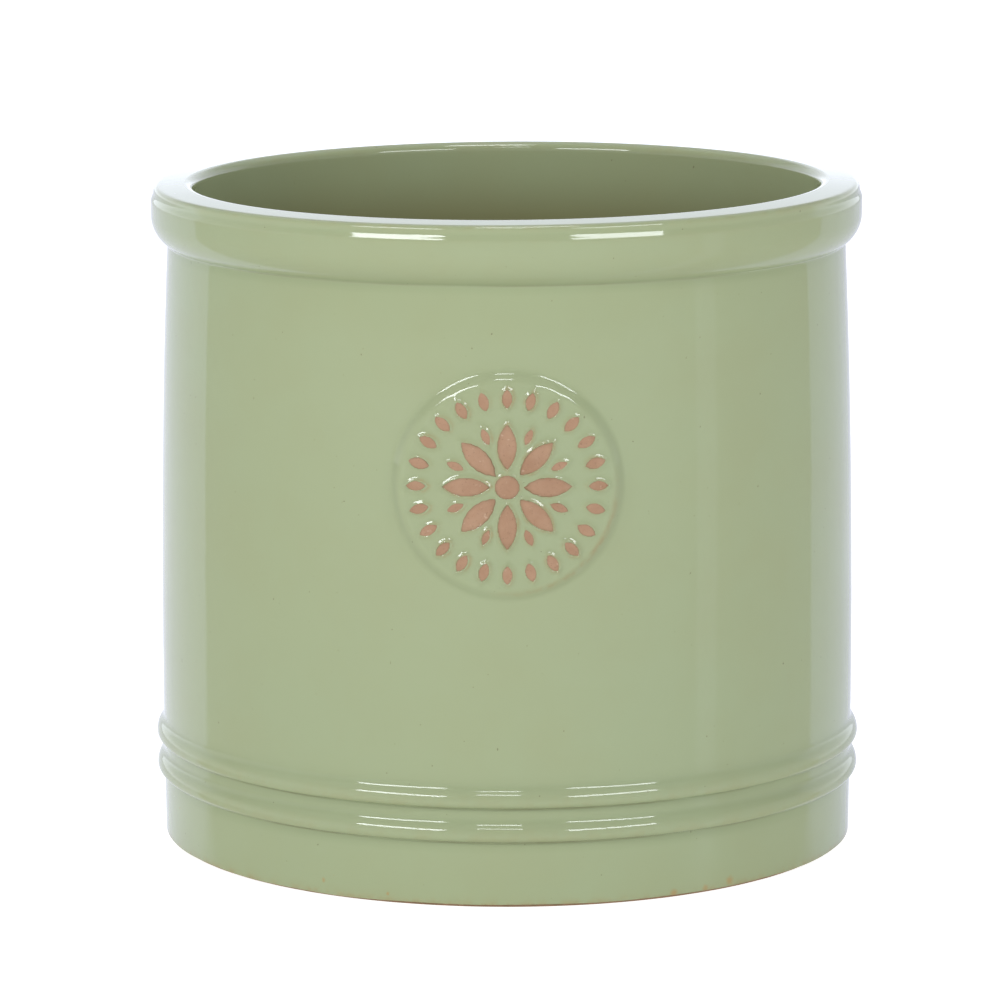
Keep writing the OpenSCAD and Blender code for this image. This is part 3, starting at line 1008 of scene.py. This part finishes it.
# %% Camera
eye = Vector((-1.92 * MM, -1.33925, 0.32614))
look_down = 10.213
camera_data = bpy.data.cameras.new("camera")
camera = bpy.data.objects.new("camera", camera_data)
bpy.context.scene.collection.objects.link(camera)
camera_data.sensor_width = 36
camera_data.lens = 191.15
camera_data.clip_end = 30
camera.location = eye
camera.rotation_euler = (math.radians(90 - look_down), 0, 0)
bpy.context.scene.camera = camera
print("camera", round(eye.length, 2), "m away, looking down by", round(look_down, 1), "degrees")

# %% [markdown]
# A wall that stands upright reflects the table, not the room, because the eye looks down on it.
# The bright upright edges near the pot's two sides are therefore the edges of white sheets on the
# table. Each is a straight line that starts beside the pot, so the table's glow is brighter
# beyond that line. A narrow strip between two such lines draws one more soft streak on the right.
# Only glossy rays see the sheets, and the eye sees an even white.

# %% Sheets on the table
# Each line: where it starts, as an angle round the pot, and its bearing, both in degrees.
left_sheet, right_sheet = (-57.9, -119), (58.5, 121)
strip_near, strip_far = (31.6, 65), (35.2, 73)
bare_glow, strip_glow = (0.17, 0.17, 0.10, 1), (0.45, 0.46, 0.44, 1)
left_glow, right_glow = (0.59, 0.61, 0.74, 1), (0.46, 0.48, 0.61, 1)
lit_glow, seen_glow = (0.46, 0.46, 0.46, 1), (0.85, 0.85, 0.85, 1)


def sheet_line(angle, bearing):
    """A line on the table that starts at an angle on the pot and runs off on a bearing."""
    a, b = math.radians(angle), math.radians(bearing)
    start = Vector((math.sin(a), -math.cos(a), 0)) * belly_r
    across = math.copysign(1, b) * Vector((math.cos(b), math.sin(b), 0))
    return across, across.dot(start)


print("sheets start at", left_sheet[0], "and", right_sheet[0], "degrees round the pot")


# %% Table
def table():
    """A wide white table whose glow depends on what kind of ray meets it."""
    half = 8.0
    mesh = bpy.data.meshes.new("table")
    corners = [(-half, -half, 0), (half, -half, 0), (half, half, 0), (-half, half, 0)]
    mesh.from_pydata(corners, [], [(0, 1, 2, 3)])
    piece = bpy.data.objects.new("table", mesh)
    bpy.context.scene.collection.objects.link(piece)
    material, t, shader = new_material("white_table")
    shader.inputs["Base Color"].default_value = (0.60, 0.60, 0.60, 1)
    shader.inputs["Roughness"].default_value = 1.0
    shader.inputs["Specular IOR Level"].default_value = 0.0

    def beyond(edge, soft=4 * MM):
        """1 on the far side of a sheet's edge, 0 on the near side, with a soft border."""
        across, offset = sheet_line(*edge)
        reach = t.vector("DOT_PRODUCT", t.place, across)
        return t.between(reach, offset - soft, offset + soft)

    path = t.node("ShaderNodeLightPath")
    side = t.between(t.vector("DOT_PRODUCT", t.place, Vector((1, 0, 0))), -2 * MM, 2 * MM)
    right = t.math("MULTIPLY", beyond(right_sheet), side)
    left = t.math("MULTIPLY", beyond(left_sheet), t.math("SUBTRACT", 1.0, side))
    strip = t.math("MULTIPLY", beyond(strip_near), t.math("SUBTRACT", 1.0, beyond(strip_far)))
    glossy = t.mix(left, bare_glow, left_glow)
    glossy = t.mix(right, glossy, right_glow)
    glossy = t.mix(t.math("MULTIPLY", strip, side), glossy, strip_glow)
    glow = t.mix(path.outputs["Is Glossy Ray"], lit_glow, glossy)
    glow = t.mix(path.outputs["Is Camera Ray"], glow, seen_glow)
    t.put(shader.inputs["Emission Color"], glow)
    shader.inputs["Emission Strength"].default_value = 1.0
    mesh.materials.append(material)
    print("table", 2 * half, "m across")


table()

# %% [markdown]
# The lamps are large and soft. Two stand in front to the left and right and draw the short bright
# bars on the rim, the beads and the seal; a small one above the eye draws the middle marks. One
# more hangs over the pot. It only shows in the gloss, as a thin line along rounded edges.

# %% Lamps
lamp_away, aim_z = 2.0, 0.09
lamp_colour = (0.97, 1.0, 1.06)


def from_pot(azimuth, elevation, distance):
    """A direction from the pot, in degrees round it and up, at a distance."""
    a, e = math.radians(azimuth), math.radians(elevation)
    return distance * Vector((math.sin(a) * math.cos(e), -math.cos(a) * math.cos(e), math.sin(e)))


def lamp(name, azimuth, elevation, wide, tall, radiance, only_in_gloss=False):
    """A flat soft lamp seen from the pot `wide` by `tall` degrees, aimed at the pot."""
    away = from_pot(azimuth, elevation, lamp_away)
    data = bpy.data.lights.new(name, "AREA")
    data.shape = "RECTANGLE"
    data.size = 2 * lamp_away * math.tan(math.radians(wide) / 2)
    data.size_y = 2 * lamp_away * math.tan(math.radians(tall) / 2)
    data.energy = radiance * math.pi * data.size * data.size_y
    data.color = lamp_colour
    made = bpy.data.objects.new(name, data)
    bpy.context.scene.collection.objects.link(made)
    made.location = Vector((0, 0, aim_z)) + away
    made.rotation_euler = away.to_track_quat("Z", "Y").to_euler()
    made.visible_diffuse = not only_in_gloss


lamp("left_lamp", -37, 31, 27, 8, 13.8)
lamp("right_lamp", 37, 31, 27, 8, 10.8)
lamp("middle_lamp", -3, 48, 12, 4, 10)
lamp("overhead_lamp", 20, 80, 18, 10, 12, only_in_gloss=True)
print("four lamps hung")

# %% [markdown]
# The room is a plain colour by direction: pale and slightly blue behind the pot, dim in front.
# It is brightest near the horizon, because the rim's flat top mirrors that part and is nearly
# white. Higher up it is dim, so that the far side of the rim stays green.

# %% Room colours
# Stops by angle: degrees round from the front, and brightness. By height: sine of the elevation.
room_by_angle = [(-180, 1.05), (-121, 1.0), (-115, 0.72), (-80, 0.60), (-20, 0.34), (20, 0.32),
                 (80, 0.40), (115, 0.52), (121, 0.85), (180, 1.05)]
room_by_height = [(-0.2, 1.6), (0.08, 1.6), (0.16, 1.3), (0.30, 1.2), (0.46, 0.5), (1.0, 1.0)]


def ramp(recipe, value, low, high, stops):
    """A ramp over a range of a number, from (place, colour) stops."""
    made = recipe.tree.nodes.new("ShaderNodeValToRGB")
    recipe.put(made.inputs["Fac"], recipe.between(value, low, high))
    elements = made.color_ramp.elements
    while len(elements) < len(stops):
        elements.new(0.5)
    for element, (where, colour) in zip(elements, stops):
        element.position = (where - low) / (high - low)
        element.color = colour
    return made.outputs["Color"]


def bluish(bright, blue):
    """A grey of a brightness, or the same a little bluer when `blue` is 1."""
    return (bright * (1 - 0.04 * blue), bright, bright * (1 + 0.14 * blue), 1)


print("the room has", len(room_by_angle), "stops round and", len(room_by_height), "stops up")

# %% Room
blue_past = 118


def room():
    """Paints the world: the room for every ray but the eye's, and plain white for the eye."""
    world = bpy.data.worlds.new("room")
    bpy.context.scene.world = world
    world.use_nodes = True
    world.node_tree.nodes.clear()
    w = Recipe(world.node_tree)
    where = w.where["Generated"]
    east, up = (w.vector("DOT_PRODUCT", where, Vector(v)) for v in ((1, 0, 0), (0, 0, 1)))
    front = w.vector("DOT_PRODUCT", where, Vector((0, -1, 0)))
    angle = w.math("MULTIPLY", w.math("ARCTAN2", east, front), 180 / math.pi)
    by_angle = ramp(w, angle, -180, 180,
                    [(a, bluish(b, abs(a) > blue_past)) for a, b in room_by_angle])
    by_height = ramp(w, up, -1, 1, [(-1, (1, 1, 1, 1))] +
                     [(h, (b, b, b, 1)) for h, b in room_by_height])
    lit = w.node("ShaderNodeBackground", Color=w.vector("MULTIPLY", by_angle, by_height))
    seen = w.node("ShaderNodeBackground", Strength=1.1)
    seen.inputs["Color"].default_value = (1, 1, 1, 1)
    path = w.node("ShaderNodeLightPath")
    pick = w.tree.nodes.new("ShaderNodeMixShader")
    out = w.tree.nodes.new("ShaderNodeOutputWorld")
    w.put(pick.inputs["Fac"], path.outputs["Is Camera Ray"])
    w.put(pick.inputs[1], lit.outputs[0])
    w.put(pick.inputs[2], seen.outputs[0])
    w.put(out.inputs["Surface"], pick.outputs[0])


room()
bpy.context.scene.view_settings.view_transform = "Standard"
bpy.context.scene.view_settings.look = "None"
print("room painted")
